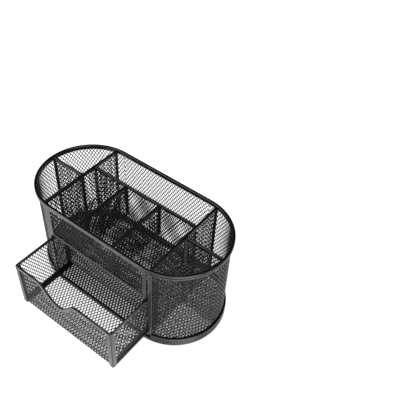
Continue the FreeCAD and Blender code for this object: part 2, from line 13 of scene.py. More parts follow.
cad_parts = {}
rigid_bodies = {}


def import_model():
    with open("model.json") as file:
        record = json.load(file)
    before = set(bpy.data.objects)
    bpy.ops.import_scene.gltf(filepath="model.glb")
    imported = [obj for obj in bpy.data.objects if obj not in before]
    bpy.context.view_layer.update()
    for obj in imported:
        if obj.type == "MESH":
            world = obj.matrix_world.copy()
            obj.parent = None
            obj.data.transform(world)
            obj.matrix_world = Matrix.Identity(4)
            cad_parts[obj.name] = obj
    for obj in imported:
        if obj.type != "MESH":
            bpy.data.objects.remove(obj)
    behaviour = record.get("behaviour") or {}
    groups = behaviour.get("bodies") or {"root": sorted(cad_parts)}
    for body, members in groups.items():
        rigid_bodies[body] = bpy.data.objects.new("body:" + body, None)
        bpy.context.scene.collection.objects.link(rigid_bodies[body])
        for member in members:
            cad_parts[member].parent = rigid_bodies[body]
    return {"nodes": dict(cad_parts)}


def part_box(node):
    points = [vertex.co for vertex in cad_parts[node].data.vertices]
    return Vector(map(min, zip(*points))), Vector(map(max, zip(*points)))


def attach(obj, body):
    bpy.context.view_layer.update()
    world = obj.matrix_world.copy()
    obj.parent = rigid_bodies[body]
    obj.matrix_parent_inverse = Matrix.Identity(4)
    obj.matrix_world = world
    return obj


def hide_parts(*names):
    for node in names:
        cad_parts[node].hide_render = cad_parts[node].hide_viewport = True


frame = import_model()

# Steel-mesh desk organizer with a sliding drawer. Lengths are in metres, +Z is up, the drawer opens towards -Y.

LOG = logging.getLogger("desk_organizer")
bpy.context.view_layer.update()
MM = 0.001
TINY = 1e-6


class Axis(Enum):
    """The axes of the frame, by their index in a vector."""

    X = 0
    Y = 1
    Z = 2

    @property
    def vector(self) -> Vector:
        """The unit vector along the axis."""
        return Vector([float(index == self.value) for index in range(3)])


class Slot(Enum):
    """The record's material slots."""

    MESH = "mesh"
    CHANNEL = "rolled_channel"
    WIRE = "wire"
    STRIP = "edge_strip"


class Body(Enum):
    """The bodies that a piece can ride on."""

    ORGANIZER = "organizer"
    DRAWER = "drawer"


class Kind(Enum):
    """The elements of a mesh that can be picked in edit mode."""

    VERTEX = "VERT"
    EDGE = "EDGE"
    FACE = "FACE"


Test = Callable[[Vector], bool]


# Hand tools


@contextmanager
def editing(piece: bpy.types.Object) -> Iterator[bpy.types.Object]:
    """Open a piece in edit mode with all of it selected, and close it again.

    Args:
        piece: the mesh object to work on.
    """
    bpy.ops.object.select_all(action="DESELECT")
    bpy.context.view_layer.objects.active = piece
    piece.select_set(True)
    bpy.ops.object.mode_set(mode="EDIT")
    bpy.ops.mesh.select_mode(type="VERT")
    bpy.ops.mesh.select_all(action="SELECT")
    yield piece
    bpy.ops.object.mode_set(mode="OBJECT")


def middle_of(element: bmesh.types.BMVert | bmesh.types.BMEdge | bmesh.types.BMFace) -> Vector:
    """Give an element's middle.

    Args:
        element: a vertex, an edge or a face.

    Returns:
        Its place, or the middle of its corners.
    """
    if isinstance(element, bmesh.types.BMVert):
        return element.co.copy()
    corners = [corner.co for corner in element.verts]
    return sum(corners, Vector()) / len(corners)


def pick(piece: bpy.types.Object, kind: Kind, wanted: Callable[..., bool], whole: bool = False) -> int:
    """Select elements in edit mode by a test.

    Args:
        piece: the object in edit mode.
        kind: which elements are tested.
        wanted: the test, given an element's middle, or the element itself.
        whole: whether the test is given the element.

    Returns:
        How many elements were selected.
    """
    bpy.ops.mesh.select_mode(type=kind.value)
    bpy.ops.mesh.select_all(action="DESELECT")
    shell = bmesh.from_edit_mesh(piece.data)
    elements = {Kind.VERTEX: shell.verts, Kind.EDGE: shell.edges, Kind.FACE: shell.faces}[kind]
    found = [element for element in elements if wanted(element if whole else middle_of(element))]
    for element in found:
        element.select_set(True)
    shell.select_flush_mode()
    bmesh.update_edit_mesh(piece.data)
    return len(found)


def turn(degrees: float, axis: Axis, centre: Sequence[float] = (0, 0, 0)) -> None:
    """Turn what is selected in edit mode, counterclockwise as seen from the axis's tip.

    Args:
        degrees: the angle.
        axis: the axis to turn about.
        centre: a point on the axis.
    """
    radians = math.radians(degrees)
    bpy.ops.transform.rotate(
        value=-radians, orient_axis=axis.name, orient_type="GLOBAL", center_override=tuple(centre)
    )


def shift(offset: Sequence[float]) -> None:
    """Move what is selected in edit mode.

    Args:
        offset: the way to go.
    """
    bpy.ops.transform.translate(value=tuple(offset))


def trim(point: Sequence[float], normal: Sequence[float]) -> None:
    """Cut all of the open piece at a plane, and throw away the side that the normal points to.

    Args:
        point: a point of the plane.
        normal: the plane's normal.
    """
    bpy.ops.mesh.select_all(action="SELECT")
    bpy.ops.mesh.bisect(plane_co=tuple(point), plane_no=tuple(normal), clear_outer=True)


def apply_modifier(piece: bpy.types.Object, kind: str, **settings: object) -> None:
    """Add a modifier to a piece, set it and apply it.

    Args:
        piece: the mesh object.
        kind: the modifier's type.
        settings: its properties.
    """
    modifier = piece.modifiers.new(kind.lower(), kind)
    for name, value in settings.items():
        setattr(modifier, name, value)
    bpy.ops.object.select_all(action="DESELECT")
    bpy.context.view_layer.objects.active = piece
    piece.select_set(True)
    bpy.ops.object.modifier_apply(modifier=modifier.name)


def block(low: Vector, high: Vector) -> bpy.types.Object:
    """Start a bar or plate from a cube between two corners.

    Args:
        low: the lowest corner.
        high: the highest corner.

    Returns:
        The new object.
    """
    bpy.ops.object.select_all(action="DESELECT")
    bpy.ops.mesh.primitive_cube_add(size=1)
    piece = bpy.context.object
    with editing(piece):
        bpy.ops.transform.resize(value=tuple(high - low))
        shift((low + high) / 2)
    return piece


def outward(piece: bpy.types.Object) -> None:
    """Merge doubles and make the faces of a closed piece point outwards.

    Args:
        piece: the mesh object.
    """
    with editing(piece):
        bpy.ops.mesh.remove_doubles(threshold=TINY)
        bpy.ops.mesh.select_all(action="SELECT")
        bpy.ops.mesh.normals_make_consistent(inside=False)


def corners_of(node: str) -> tuple[Vector, Vector]:
    """Give a node's box at rest.

    Args:
        node: the node's name.

    Returns:
        Its lowest and its highest corner.
    """
    low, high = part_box(node)
    return Vector(low), Vector(high)


# Finishes


@dataclass(frozen=True)
class PowderCoat:
    """Baked powder paint on steel, with its fine orange peel.

    Attributes:
        name: the material's name.
        shade: the paint's colour.
        worn_shade: the colour of random patches where the paint is rubbed and dust lies.
        gloss: the lowest and the highest roughness.
        sheen: how strongly the paint reflects, 0.5 for a common plastic.
        peel_size: how wide a bump of the orange peel is.
        peel_height: how high it is.
        cloud_size: how wide a patch of slightly different gloss is.
    """

    name: str
    shade: tuple[float, float, float] = (0.0045, 0.0045, 0.004)
    worn_shade: tuple[float, float, float] = (0.01, 0.01, 0.009)
    gloss: tuple[float, float] = (0.2, 0.3)
    sheen: float = 0.42
    peel_size: float = 0.45 * MM
    peel_height: float = 0.02 * MM
    cloud_size: float = 14 * MM

    def material(self) -> bpy.types.Material:
        """Give the finish's material, made once.

        Returns:
            The node material.
        """
        known = bpy.data.materials.get(self.name)
        if known:
            return known
        paint = bpy.data.materials.new(self.name)
        paint.use_nodes = True
        nodes, links = paint.node_tree.nodes, paint.node_tree.links
        shader = nodes["Principled BSDF"]
        shader.inputs["Specular IOR Level"].default_value = self.sheen
        place = nodes.new("ShaderNodeTexCoord")
        peel = self._noise(nodes, links, place, self.peel_size, detail=2.0)
        cloud = self._noise(nodes, links, place, self.cloud_size, detail=4.0)
        dust = self._noise(nodes, links, place, self.cloud_size / 6, detail=6.0)
        bump = nodes.new("ShaderNodeBump")
        bump.inputs["Strength"].default_value = 0.6
        bump.inputs["Distance"].default_value = self.peel_height
        links.new(peel.outputs["Fac"], bump.inputs["Height"])
        links.new(bump.outputs["Normal"], shader.inputs["Normal"])
        gloss = nodes.new("ShaderNodeMapRange")
        gloss.inputs["From Min"].default_value = 0.3
        gloss.inputs["From Max"].default_value = 0.7
        gloss.inputs["To Min"].default_value = self.gloss[0]
        gloss.inputs["To Max"].default_value = self.gloss[1]
        links.new(cloud.outputs["Fac"], gloss.inputs["Value"])
        links.new(gloss.outputs["Result"], shader.inputs["Roughness"])
        shades = nodes.new("ShaderNodeValToRGB")
        shades.color_ramp.elements[0].position = 0.45
        shades.color_ramp.elements[0].color = (*self.shade, 1)
        shades.color_ramp.elements[1].position = 0.8
        shades.color_ramp.elements[1].color = (*self.worn_shade, 1)
        links.new(dust.outputs["Fac"], shades.inputs["Fac"])
        links.new(shades.outputs["Color"], shader.inputs["Base Color"])
        return paint

    @staticmethod
    def _noise(
        nodes: bpy.types.Nodes, links: bpy.types.NodeLinks, place: bpy.types.Node, width: float, detail: float
    ) -> bpy.types.Node:
        """Add a noise pattern whose patches have a real width.

        Args:
            nodes: the material's nodes.
            links: the material's links.
            place: the node that gives the object's coordinates.
            width: the width of a patch.
            detail: the pattern's detail.

        Returns:
            The noise node.
        """
        noise = nodes.new("ShaderNodeTexNoise")
        noise.inputs["Scale"].default_value = 1 / width
        noise.inputs["Detail"].default_value = detail
        links.new(place.outputs["Object"], noise.inputs["Vector"])
        return noise


MESH_COAT = PowderCoat("powder_coat_mesh")
CHANNEL_COAT = PowderCoat("powder_coat_channel", gloss=(0.16, 0.26), sheen=1.0)
WIRE_COAT = PowderCoat("powder_coat_wire")
STRIP_COAT = PowderCoat("powder_coat_strip", gloss=(0.32, 0.44), sheen=1.0)


def finish(
    piece: bpy.types.Object,
    name: str,
    coat: PowderCoat,
    body: Body,
    nodes: Sequence[str],
    smooth_degrees: float = 40.0,
) -> bpy.types.Object:
    """Name, shade, dress and attach a finished piece.

    Args:
        piece: the mesh object.
        name: the piece's name.
        coat: its finish.
        body: the body that it rides on.
        nodes: the CAD nodes that it stands for.
        smooth_degrees: the sharpest edge that is shaded smooth.

    Returns:
        The piece.
    """
    piece.name = name
    piece.data.name = name
    piece.data.materials.clear()
    piece.data.materials.append(coat.material())
    bpy.ops.object.select_all(action="DESELECT")
    bpy.context.view_layer.objects.active = piece
    piece.select_set(True)
    bpy.ops.object.shade_smooth_by_angle(angle=math.radians(smooth_degrees))
    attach(piece, body.value)
    if nodes:
        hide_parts(*nodes)
    LOG.info("%s: %d faces", name, len(piece.data.polygons))
    return piece


# Expanded mesh


@dataclass
class MeshStock:
    """Expanded steel mesh as it comes off the roll: rhombic openings between slanting strands.

    Attributes:
        across: from one opening to the next, the short way.
        along: from one opening to the next, the long way.
        strand: how wide a strand is.
        gauge: how thick a strand is in its middle.
        edge_share: how thick a strand is at its edges, as a share of its middle.
    """

    across: float = 3.57 * MM
    along: float = 6.06 * MM
    strand: float = 0.88 * MM
    gauge: float = 0.84 * MM
    edge_share: float = 0.15

    def blank(self, width: float, height: float) -> bpy.types.Object:
        """Make a flat lattice without thickness, a little larger than asked, about the origin.

        A grid's squares are split to their middles and joined over its lines, which gives the rhombi, and
        each rhombus is then opened.

        Args:
            width: the size along X, the mesh's short way.
            height: the size along Y, its long way.

        Returns:
            The lattice, in the XY plane.
        """
        columns = math.ceil(width / self.across) + 2
        rows = math.ceil(height / self.along) + 2
        bpy.ops.object.select_all(action="DESELECT")
        bpy.ops.mesh.primitive_grid_add(x_subdivisions=columns, y_subdivisions=rows, size=1)
        piece = bpy.context.object
        crown = piece.vertex_groups.new(name="crown")
        with editing(piece):
            bpy.ops.transform.resize(value=(columns * self.across, rows * self.along, 1))
            bpy.ops.object.vertex_group_assign()
            bpy.ops.mesh.poke(offset=0)
            pick(piece, Kind.EDGE, self._is_grid_line, whole=True)
            bpy.ops.mesh.dissolve_edges(use_verts=False)
            bpy.ops.mesh.select_all(action="SELECT")
            bpy.ops.object.vertex_group_assign()
            bpy.ops.mesh.select_mode(type="FACE")
            bpy.ops.mesh.select_all(action="SELECT")
            bpy.ops.mesh.inset(thickness=self.strand / 2, use_individual=True, use_even_offset=True)
            bpy.ops.object.vertex_group_remove_from()
            bpy.ops.mesh.delete(type="FACE")
        piece.vertex_groups.active_index = crown.index
        return piece

    @staticmethod
    def _is_grid_line(edge: bmesh.types.BMEdge) -> bool:
        """Tell an inner line of the grid from a border and from the lines to the squares' middles."""
        first, second = edge.verts
        straight = abs(first.co.x - second.co.x) < TINY or abs(first.co.y - second.co.y) < TINY
        return straight and len(edge.link_faces) == 2

    def cut(self, width: float, height: float) -> bpy.types.Object:
        """Cut a flat rectangle from the roll.

        Args:
            width: the size along X.
            height: the size along Y.

        Returns:
            The lattice without thickness, in the XY plane about the origin.
        """
        piece = self.blank(width, height)
        with editing(piece):
            for side, axis in ((width / 2, Axis.X), (height / 2, Axis.Y)):
                trim(axis.vector * side, axis.vector)
                trim(axis.vector * -side, -axis.vector)
        self.drop_crumbs(piece)
        return piece

    @staticmethod
    def drop_crumbs(piece: bpy.types.Object) -> None:
        """Delete the bits of strand that a cut has left hanging loose at an edge.

        Args:
            piece: the lattice.
        """
        with editing(piece):
            bpy.ops.mesh.select_all(action="DESELECT")
            shell = bmesh.from_edit_mesh(piece.data)
            centre = sum((vertex.co for vertex in shell.verts), Vector()) / len(shell.verts)
            nearest = min(shell.verts, key=lambda vertex: (vertex.co - centre).length)
            nearest.select_set(True)
            bmesh.update_edit_mesh(piece.data)
            bpy.ops.mesh.select_linked()
            bpy.ops.mesh.select_all(action="INVERT")
            bpy.ops.mesh.delete(type="VERT")

    def thicken(self, piece: bpy.types.Object) -> None:
        """Give a lattice its thickness, fuller along the middle of each strand.

        Args:
            piece: the lattice without thickness.
        """
        apply_modifier(
            piece,
            "SOLIDIFY",
            thickness=self.gauge,
            offset=0,
            use_even_offset=True,
            vertex_group="crown",
            thickness_vertex_group=self.edge_share,
        )
        piece.vertex_groups.clear()
        outward(piece)


STOCK = MeshStock()


@dataclass
class FlatSheet:
    """A flat sheet of mesh in the place of a CAD sheet.

    Attributes:
        node: the CAD node that it stands for.
        facing: the axis that its face looks along.
        body: the body that it rides on.
    """

    node: str
    facing: Axis
    body: Body = Body.ORGANIZER

    def build(self) -> bpy.types.Object:
        """Cut the sheet, stand it up and place it.

        Returns:
            The finished piece.
        """
        low, high = corners_of(self.node)
        extent = high - low
        sizes = {Axis.X: (extent.y, extent.z), Axis.Y: (extent.x, extent.z), Axis.Z: (extent.x, extent.y)}
        piece = STOCK.cut(*sizes[self.facing])
        self.shape(piece, extent)
        STOCK.thicken(piece)
        with editing(piece):
            if self.facing is not Axis.Z:
                turn(90, Axis.X)
            if self.facing is Axis.X:
                turn(90, Axis.Z)
            shift((low + high) / 2)
        return finish(piece, "mesh_" + self.node, MESH_COAT, self.body, [self.node], 70)

    def shape(self, piece: bpy.types.Object, extent: Vector) -> None:
        """Cut the flat sheet further; a plain sheet needs nothing.

        Args:
            piece: the lattice in the XY plane.
            extent: the size of the sheet's box.
        """


@dataclass
class OvalFloor(FlatSheet):
    """The floor's sheet, trimmed to the oval between the two rolled channels.

    Attributes:
        cuts: how many straight cuts go round each end.
    """

    cuts: int = 9

    def shape(self, piece: bpy.types.Object, extent: Vector) -> None:
        """Trim both ends round.

        Args:
            piece: the lattice in the XY plane.
            extent: the size of the sheet's box.
        """
        radius = extent.y / 2
        middle = extent.x / 2 - radius
        with editing(piece):
            for side in (-1, 1):
                for index in range(self.cuts):
                    angle = math.pi * ((index + 0.5) / self.cuts - 0.5)
                    normal = Vector((side * math.cos(angle), math.sin(angle), 0))
                    reach = radius * math.cos(math.pi / 2 / self.cuts)
                    trim(Vector((side * middle, 0, 0)) + normal * reach, normal)
        STOCK.drop_crumbs(piece)


@dataclass
class TrayFloor(FlatSheet):
    """The raised tray's sheet, notched at its front corners for the posts."""

    post: str = "right_post"
    gap: float = 0.2 * MM

    def shape(self, piece: bpy.types.Object, extent: Vector) -> None:
        """Cut the two notches.

        Args:
            piece: the lattice in the XY plane.
            extent: the size of the sheet's box.
        """
        post_low, post_high = corners_of(self.post)
        low, high = corners_of(self.node)
        inner = post_low.x - self.gap
        back = post_high.y + self.gap - (low.y + high.y) / 2
        near = 3 * STOCK.along
        with editing(piece):
            for side in (-1, 1):
                pick(piece, Kind.FACE, lambda at: side * at.x > inner - near and at.y < back + near)
                bpy.ops.mesh.bisect(plane_co=(side * inner, 0, 0), plane_no=(1, 0, 0))
                pick(piece, Kind.FACE, lambda at: side * at.x > inner - near and at.y < back + near)
                bpy.ops.mesh.bisect(plane_co=(0, back, 0), plane_no=(0, 1, 0))
                pick(piece, Kind.FACE, lambda at: side * at.x > inner and at.y < back)
                bpy.ops.mesh.delete(type="FACE")
        STOCK.drop_crumbs(piece)


@dataclass
class EndWall:
    """The mesh that is bent round one end.

    Attributes:
        node: the CAD node that it stands for.
        side: 1 at the right end, -1 at the left.
        gauge: the thickness of the CAD sheet.
    """

    node: str
    side: int
    gauge: float = 0.8 * MM

    def build(self) -> bpy.types.Object:
        """Cut the wall flat, bend it and place it.

        Returns:
            The finished piece.
        """
        low, high = corners_of(self.node)
        outer = high.y
        middle = min(abs(low.x), abs(high.x))
        front = math.degrees(math.asin(math.sqrt(outer**2 - low.y**2) / outer))
        bend = 180 - front
        radius = outer - self.gauge / 2
        piece = STOCK.cut(radius * math.radians(bend), high.z - low.z)
        with editing(piece):
            turn(90, Axis.X)
        apply_modifier(piece, "SIMPLE_DEFORM", deform_method="BEND", deform_axis="Z", angle=math.radians(bend))
        with editing(piece):
            shift((0, -radius, 0))
            turn(self.side * (front + bend / 2), Axis.Z)
            shift((self.side * middle, 0, (low.z + high.z) / 2))
        STOCK.thicken(piece)
        return finish(piece, "mesh_" + self.node, MESH_COAT, Body.ORGANIZER, [self.node], 70)


# Rolled channels, wires and strips


@dataclass
class RolledChannel:
    """Sheet steel rolled round the edge of the mesh: a flat inside and two round beads outside.

    Attributes:
        node: the CAD node that it stands for.
        width: how deep the channel is, from inside to outside.
        corner: how round the outer corners are.
        inner_corner: how round the inner corners are.
        groove: how deep the groove between the beads is.
        bead_share: where a bead ends beside the groove, as a share of the height from the middle.
        steps: how many faces go round each end.
    """

    node: str
    width: float = 3.2 * MM
    corner: float = 0.95 * MM
    inner_corner: float = 0.5 * MM
    groove: float = 1.3 * MM
    bead_share: float = 0.15
    steps: int = 72

    def build(self) -> bpy.types.Object:
        """Shape the section and take it round the oval.

        Returns:
            The finished piece.
        """
        low, high = corners_of(self.node)
        outer = high.y
        middle = high.x - outer
        height = high.z - low.z
        bpy.ops.object.select_all(action="DESELECT")
        bpy.ops.mesh.primitive_plane_add(size=1)
        piece = bpy.context.object
        with editing(piece):
            bpy.ops.transform.resize(value=(height, self.width, 1))
            turn(90, Axis.Y)
            shift((middle, self.width / 2 - outer, (low.z + high.z) / 2))
            self._shape_section(piece, -outer, (low.z + high.z) / 2, height)
            bpy.ops.mesh.select_all(action="SELECT")
            bpy.ops.mesh.delete(type="ONLY_FACE")
            bpy.ops.mesh.select_all(action="SELECT")
            self._sweep(middle)
            bpy.ops.mesh.select_all(action="SELECT")
            bpy.ops.mesh.remove_doubles(threshold=TINY)
            self.open_mouth(piece)
        outward(piece)
        return finish(piece, "rolled_" + self.node, CHANNEL_COAT, Body.ORGANIZER, [self.node], 50)

    def _shape_section(self, piece: bpy.types.Object, front: float, centre: float, height: float) -> None:
        """Give the flat section its beads, groove and round corners.

        Args:
            piece: the section, in edit mode.
            front: where the outer side stands on Y.
            centre: the section's middle height.
            height: its height.
        """
        pick(piece, Kind.EDGE, lambda at: abs(at.y - front) < TINY)
        bpy.ops.mesh.subdivide(number_cuts=3)
        pick(piece, Kind.VERTEX, lambda at: abs(at.y - front) < TINY and abs(at.z - centre) < TINY)
        shift((0, self.groove, 0))
        for side in (-1, 1):
            quarter = centre + side * height / 4
            pick(piece, Kind.VERTEX, lambda at: abs(at.y - front) < TINY and abs(at.z - quarter) < TINY)
            shift((0, 0, centre + side * height * self.bead_share - quarter))
        near_groove = height * 0.2
        pick(piece, Kind.VERTEX, lambda at: abs(at.y - front) < TINY and abs(at.z - centre) < near_groove)
        bpy.ops.mesh.bevel(offset=self.corner / 3, segments=3, affect="VERTICES")
        pick(piece, Kind.VERTEX, lambda at: abs(at.y - front) < TINY and abs(at.z - centre) > height * 0.49)
        bpy.ops.mesh.bevel(offset=self.corner, segments=5, affect="VERTICES")
        pick(piece, Kind.VERTEX, lambda at: at.y > front + self.width - TINY)
        bpy.ops.mesh.bevel(offset=self.inner_corner, segments=2, affect="VERTICES")

    def _sweep(self, middle: float) -> None:
        """Take the open section round both ends and along both straights.

        Args:
            middle: how far the centres of the round ends lie from the origin.
        """
        for side in (1, -1):
            bpy.ops.mesh.spin(steps=self.steps, angle=math.pi, center=(side * middle, 0, 0), axis=(0, 0, -1))
            bpy.ops.mesh.extrude_region_move(TRANSFORM_OT_translate={"value": (-side * 2 * middle, 0, 0)})

    def open_mouth(self, piece: bpy.types.Object) -> None:
        """Cut a gap into the ring; a closed ring needs none.

        Args:
            piece: the ring, in edit mode.
        """


@dataclass
class OpenChannel(RolledChannel):
    """The channel round the foot of the walls, open in front for the drawer."""

    post: str = "right_post"

    def open_mouth(self, piece: bpy.types.Object) -> None:
        """Cut the front away between the posts and close both ends.

        Args:
            piece: the ring, in edit mode.
        """
        reach = corners_of(self.post)[1].x
        for side in (-1, 1):
            pick(piece, Kind.FACE, lambda at: at.y < 0)
            bpy.ops.mesh.bisect(plane_co=(side * reach, 0, 0), plane_no=(1, 0, 0))
        pick(piece, Kind.FACE, lambda at: at.y < 0 and abs(at.x) < reach)
        bpy.ops.mesh.delete(type="FACE")
        bpy.ops.mesh.select_all(action="SELECT")
        bpy.ops.mesh.fill_holes(sides=0)


@dataclass
class TopWire:
    """The round wire along the top of a divider, with softly rounded ends.

    Attributes:
        node: the CAD node that it stands for.
        along: the axis that it runs along.
        sides: how many faces go round it.
        end_round: how round its ends are.
        hem_drop: how far the strip that holds the mesh to it hangs below its middle line.
        hem_gauge: how thick that strip is.
    """

    node: str
    along: Axis
    sides: int = 28
    end_round: float = 0.5 * MM
    hem_drop: float = 3.2 * MM
    hem_gauge: float = 1.7 * MM

    def build(self) -> bpy.types.Object:
        """Make the wire between the ends of its node's box.

        Returns:
            The finished piece.
        """
        low, high = corners_of(self.node)
        centre = (low + high) / 2
        length = (high - low)[self.along.value]
        bpy.ops.object.select_all(action="DESELECT")
        bpy.ops.mesh.primitive_cylinder_add(vertices=self.sides, radius=(high.z - low.z) / 2, depth=length)
        piece = bpy.context.object
        with editing(piece):
            pick(piece, Kind.FACE, lambda at: abs(at.z) > length / 2 - TINY)
            bpy.ops.mesh.region_to_loop()
            bpy.ops.mesh.bevel(offset=self.end_round, segments=4, affect="EDGES")
            bpy.ops.mesh.select_all(action="SELECT")
            turn(90, Axis.X if self.along is Axis.Y else Axis.Y)
            shift(centre)
        inset = Vector((self.hem_gauge / 2,) * 3)
        inset[self.along.value] = length / 2 - self.end_round
        inset.z = 0
        hem = block(centre - inset - Vector((0, 0, self.hem_drop)), centre + inset)
        with editing(hem):
            bpy.ops.mesh.bevel(offset=self.hem_gauge / 4, segments=2, affect="EDGES")
        bpy.ops.object.select_all(action="DESELECT")
        hem.select_set(True)
        piece.select_set(True)
        bpy.context.view_layer.objects.active = piece
        bpy.ops.object.join()
        outward(piece)
        return finish(piece, "bar_" + self.node, WIRE_COAT, Body.ORGANIZER, [self.node], 40)


@dataclass
class FlatBar:
    """A flat bar or edge strip with rounded long edges.

    Attributes:
        node: the CAD node that it stands for.
        body: the body that it rides on.
        edge_round: how round its edges are.
        inward: how far its folded leg reaches over the mesh, along each axis.
        taller: how much higher it stands than its node.
    """

    node: str
    body: Body = Body.ORGANIZER
    edge_round: float = 0.3 * MM
    inward: tuple[float, float, float] = (0.0, 0.0, 0.0)
    taller: float = 0.0

    def build(self) -> bpy.types.Object:
        """Make the bar in its node's box, with its folded leg.

        Returns:
            The finished piece.
        """
        low, high = corners_of(self.node)
        high.z += self.taller
        for index, reach in enumerate(self.inward):
            low[index] += min(reach, 0)
            high[index] += max(reach, 0)
        piece = block(low, high)
        gauge = min(high - low)
        with editing(piece):
            bpy.ops.mesh.bevel(offset=min(self.edge_round, gauge * 0.45), segments=3, affect="EDGES")
        outward(piece)
        return finish(piece, "bar_" + self.node, STRIP_COAT, self.body, [self.node], 40)


# Drawer


@dataclass
class FingerDip:
    """The dip in the drawer's front: a bowl between two straight slopes that meet the top in round shoulders.

    Attributes:
        offset: where its middle lies on X.
        depth: how deep its bottom lies.
        slope_degrees: how steep its slopes are.
        shoulder: the radius of the shoulders.
        bowl: the radius of the bowl.
        segments: how many faces go round each arc.
    """

    offset: float = -6.5 * MM
    depth: float = 18.5 * MM
    slope_degrees: float = 50.0
    shoulder: float = 10 * MM
    bowl: float = 14 * MM
    segments: int = 12

    def plate(self, half_width: float, top: float, far: float) -> bpy.types.Object:
        """Make a flat plate in the XZ plane with the dip in one edge.

        Args:
            half_width: how far the plate reaches to both sides.
            top: the height of the edge with the dip.
            far: the height of the opposite edge, below the dip for a plate under it, above for one over it.

        Returns:
            The plate, one face.
        """
        tilt = math.radians(self.slope_degrees)
        point_depth = self.depth + self.bowl * (1 / math.cos(tilt) - 1)
        shoulder_reach = point_depth / math.tan(tilt)
        bpy.ops.object.select_all(action="DESELECT")
        bpy.ops.mesh.primitive_plane_add(size=1)
        piece = bpy.context.object
        with editing(piece):
            bpy.ops.transform.resize(value=(2 * half_width, abs(top - far), 1))
            turn(90, Axis.X)
            shift((0, 0, (top + far) / 2))
            pick(piece, Kind.EDGE, lambda at: abs(at.z - top) < TINY)
            bpy.ops.mesh.subdivide(number_cuts=3)
            targets = (
                (-half_width / 2, self.offset - shoulder_reach, 0.0),
                (0.0, self.offset, -point_depth),
                (half_width / 2, self.offset + shoulder_reach, 0.0),
            )
            for here, there, drop in targets:
                pick(piece, Kind.VERTEX, lambda at: abs(at.x - here) < TINY and abs(at.z - top) < TINY)
                shift((there - here, 0, drop))
            bend = math.radians(self.slope_degrees) / 2
            pick(piece, Kind.VERTEX, lambda at: abs(abs(at.x - self.offset) - shoulder_reach) < TINY)
            bpy.ops.mesh.bevel(
                offset=self.shoulder * math.tan(bend), segments=self.segments, affect="VERTICES"
            )
            pick(piece, Kind.VERTEX, lambda at: abs(at.x - self.offset) < TINY)
            bpy.ops.mesh.bevel(
                offset=self.bowl * math.tan(2 * bend), segments=2 * self.segments, affect="VERTICES"
            )
        return piece


@dataclass
class DrawerShell:
    """Front, floor and back of the drawer, folded from one sheet of mesh.

    Attributes:
        node: the CAD node that it stands for.
        gauge: the thickness of the CAD sheet.
        fold_radius: the radius of the folds along the middle of the sheet.
        fold_steps: how many creases make a fold.
        dip: the finger dip.
    """

    node: str = "drawer_shell"
    gauge: float = 0.8 * MM
    fold_radius: float = 1.6 * MM
    fold_steps: int = 3
    dip: FingerDip = field(default_factory=FingerDip)

    def build(self) -> bpy.types.Object:
        """Cut the sheet flat, fold it, thicken it and cut the dip.

        Returns:
            The finished piece.
        """
        low, high = corners_of(self.node)
        wall = high.z - low.z - self.gauge / 2 - self.fold_radius
        floor = high.y - low.y - self.gauge - 2 * self.fold_radius
        fold = self.fold_radius * math.pi / 2
        piece = STOCK.cut(high.x - low.x, 2 * wall + floor + 2 * fold)
        with editing(piece):
            for side in (-1, 1):
                for index in range(self.fold_steps):
                    self._crease(piece, side, floor / 2 + fold * (index + 0.5) / self.fold_steps)
            for side in (-1, 1):
                for index in reversed(range(self.fold_steps)):
                    crease = floor / 2 + fold * (index + 0.5) / self.fold_steps
                    pick(piece, Kind.VERTEX, lambda at: side * at.y > crease + TINY or at.z > TINY and side * at.y > 0)
                    turn(side * 90 / self.fold_steps, Axis.X, (0, side * crease, 0))
            bpy.ops.mesh.select_all(action="SELECT")
            shift((0, (low.y + high.y) / 2, low.z + self.gauge / 2))
        STOCK.thicken(piece)
        self._cut_dip(piece, low, high)
        return finish(piece, "mesh_" + self.node, MESH_COAT, Body.DRAWER, [self.node], 70)

    @staticmethod
    def _crease(piece: bpy.types.Object, side: int, crease: float) -> None:
        """Score the flat sheet along a line, so that it can fold there.

        Args:
            piece: the sheet, in edit mode.
            side: 1 towards the back, -1 towards the front.
            crease: how far the line lies from the middle of the floor.
        """
        bpy.ops.mesh.select_all(action="SELECT")
        bpy.ops.mesh.bisect(plane_co=(0, side * crease, 0), plane_no=(0, 1, 0))

    def _cut_dip(self, piece: bpy.types.Object, low: Vector, high: Vector) -> None:
        """Cut the finger dip out of the front.

        Args:
            piece: the folded shell.
            low: the lowest corner of the shell.
            high: the highest corner of the shell.
        """
        over = 5 * MM
        cutter = self.dip.plate(high.x + over, high.z, high.z + over)
        with editing(cutter):
            shift((0, low.y - over, 0))
            bpy.ops.mesh.extrude_region_move(TRANSFORM_OT_translate={"value": (0, 2 * over, 0)})
        outward(cutter)
        apply_modifier(piece, "BOOLEAN", operation="DIFFERENCE", solver="EXACT", object=cutter)
        bpy.data.objects.remove(cutter)


